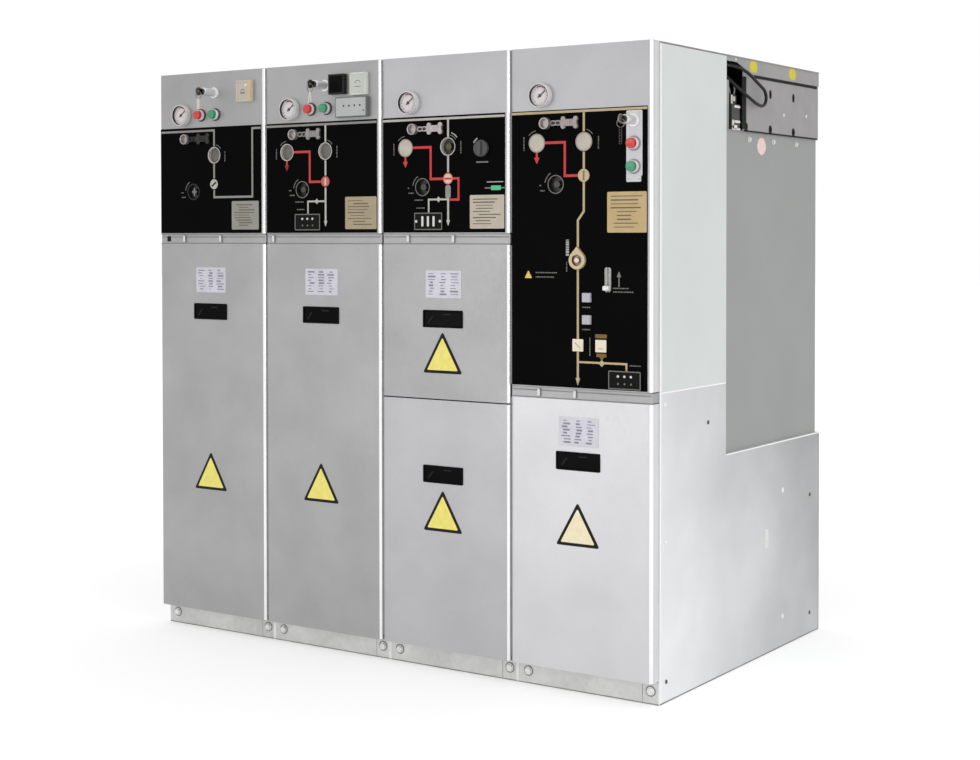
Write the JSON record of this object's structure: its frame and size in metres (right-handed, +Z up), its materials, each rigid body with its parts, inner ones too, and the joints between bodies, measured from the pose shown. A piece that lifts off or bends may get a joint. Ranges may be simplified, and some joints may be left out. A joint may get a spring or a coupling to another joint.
{
  "type": "gas insulated switchgear",
  "caption": "Row of sheet-steel switchgear cubicles with rolled front pans, black mimic panels with shaft sockets, gauges and push-buttons over cable covers, and sealed gas tanks behind.",
  "frame": {"origin": "on the floor, under the middle of the row's box", "axes": "+X along the row to the right as seen from the front, +Y to the back, +Z up"},
  "size_m": [1.516, 0.9976, 1.475],
  "materials": {
    "front_sheet": "satin grey coated sheet",
    "galvanised_sheet": "zinc coated, soft spangle",
    "pale_side_sheet": "satin pale grey",
    "tank_steel": "satin mid grey",
    "mimic_black": "gloss black plate",
    "window_black": "dark viewing window",
    "gauge_white": "gauge case and dial",
    "socket_steel": "turned steel",
    "lock_steel": "plated bar",
    "bezel_white": "moulded collar",
    "button_red": "moulded lens",
    "button_green": "moulded lens",
    "key_metal": "plated barrel and key",
    "meter_pale": "moulded case",
    "meter_black": "moulded case",
    "indicator_grey": "moulded case",
    "knob_grey": "moulded knob",
    "indicator_black": "moulded case",
    "strip_white": "white plate",
    "boss_brass": "turned boss",
    "push_grey": "moulded key",
    "slider_white": "moulded slider",
    "state_white": "indicator pane",
    "terminal_black": "moulded terminal",
    "cable_black": "black sheath"
  },
  "bodies": {
    "housing": {"base_runners": "galvanised_sheet", "black_meter": "meter_black", "button_bezels": "bezel_white", "cable_cover_1": "front_sheet", "cable_cover_2": "front_sheet", "cable_cover_3_lower": "front_sheet", "cable_cover_3_upper": "front_sheet", "cable_cover_4": "front_sheet", "cable_grommets": "cable_black", "charge_sockets": "socket_steel", "control_cable": "cable_black", "front_posts": "galvanised_sheet", "gas_tanks": "tank_steel", "interlock_rails": "front_sheet", "key_switches": "key_metal", "left_side_plate": "galvanised_sheet", "line_indicator": "indicator_grey", "lock_bars": "lock_steel", "mimic_plate_1": "mimic_black", "mimic_plate_2": "mimic_black", "mimic_plate_3": "mimic_black", "mimic_plate_4": "mimic_black", "pale_meters": "meter_pale", "partition_walls": "galvanised_sheet", "plinth_strips": "galvanised_sheet", "pressure_gauges": "gauge_white", "rear_covers": "galvanised_sheet", "right_side_plate": "galvanised_sheet", "roof_panels": "galvanised_sheet", "rotary_knob": "knob_grey", "shaft_boss": "boss_brass", "shaft_sockets": "socket_steel", "state_windows": "state_white", "switch_strip": "strip_white", "tank_end_covers": "tank_steel", "tank_shelves": "galvanised_sheet", "terminal_block": "terminal_black", "trough_ends": "tank_steel", "trough_lid": "tank_steel", "upper_front_1": "front_sheet", "upper_front_2": "front_sheet", "upper_front_3": "front_sheet", "upper_front_4": "front_sheet", "upper_sides": "pale_side_sheet", "viewing_windows": "window_black", "voltage_indicators": "indicator_black", "wiring_trough": "tank_steel"},
    "red_button_1": {"red_button_1": "button_red"},
    "green_button_1": {"green_button_1": "button_green"},
    "red_button_2": {"red_button_2": "button_red"},
    "green_button_2": {"green_button_2": "button_green"},
    "red_button_4": {"red_button_4": "button_red"},
    "green_button_4": {"green_button_4": "button_green"},
    "push_key_on": {"push_key_on": "push_grey"},
    "push_key_off": {"push_key_off": "push_grey"},
    "interlock_slider": {"interlock_slider": "slider_white"}
  },
  "joints": [
    {"name": "red_button_1_travel", "type": "slide", "parent": "housing", "child": "red_button_1", "axis": [0, 1, 0], "range_m": [0, 0.004], "stiffness_N_per_m": 400},
    {"name": "green_button_1_travel", "type": "slide", "parent": "housing", "child": "green_button_1", "axis": [0, 1, 0], "range_m": [0, 0.004], "stiffness_N_per_m": 400},
    {"name": "red_button_2_travel", "type": "slide", "parent": "housing", "child": "red_button_2", "axis": [0, 1, 0], "range_m": [0, 0.004], "stiffness_N_per_m": 400},
    {"name": "green_button_2_travel", "type": "slide", "parent": "housing", "child": "green_button_2", "axis": [0, 1, 0], "range_m": [0, 0.004], "stiffness_N_per_m": 400},
    {"name": "red_button_4_travel", "type": "slide", "parent": "housing", "child": "red_button_4", "axis": [0, 1, 0], "range_m": [0, 0.004], "stiffness_N_per_m": 400},
    {"name": "green_button_4_travel", "type": "slide", "parent": "housing", "child": "green_button_4", "axis": [0, 1, 0], "range_m": [0, 0.004], "stiffness_N_per_m": 400},
    {"name": "push_key_on_travel", "type": "slide", "parent": "housing", "child": "push_key_on", "axis": [0, 1, 0], "range_m": [0, 0.004], "stiffness_N_per_m": 600},
    {"name": "push_key_off_travel", "type": "slide", "parent": "housing", "child": "push_key_off", "axis": [0, 1, 0], "range_m": [0, 0.004], "stiffness_N_per_m": 600},
    {"name": "interlock_slider_travel", "type": "slide", "parent": "housing", "child": "interlock_slider", "axis": [0, 0, 1], "range_m": [0, 0.038]}
  ]
}
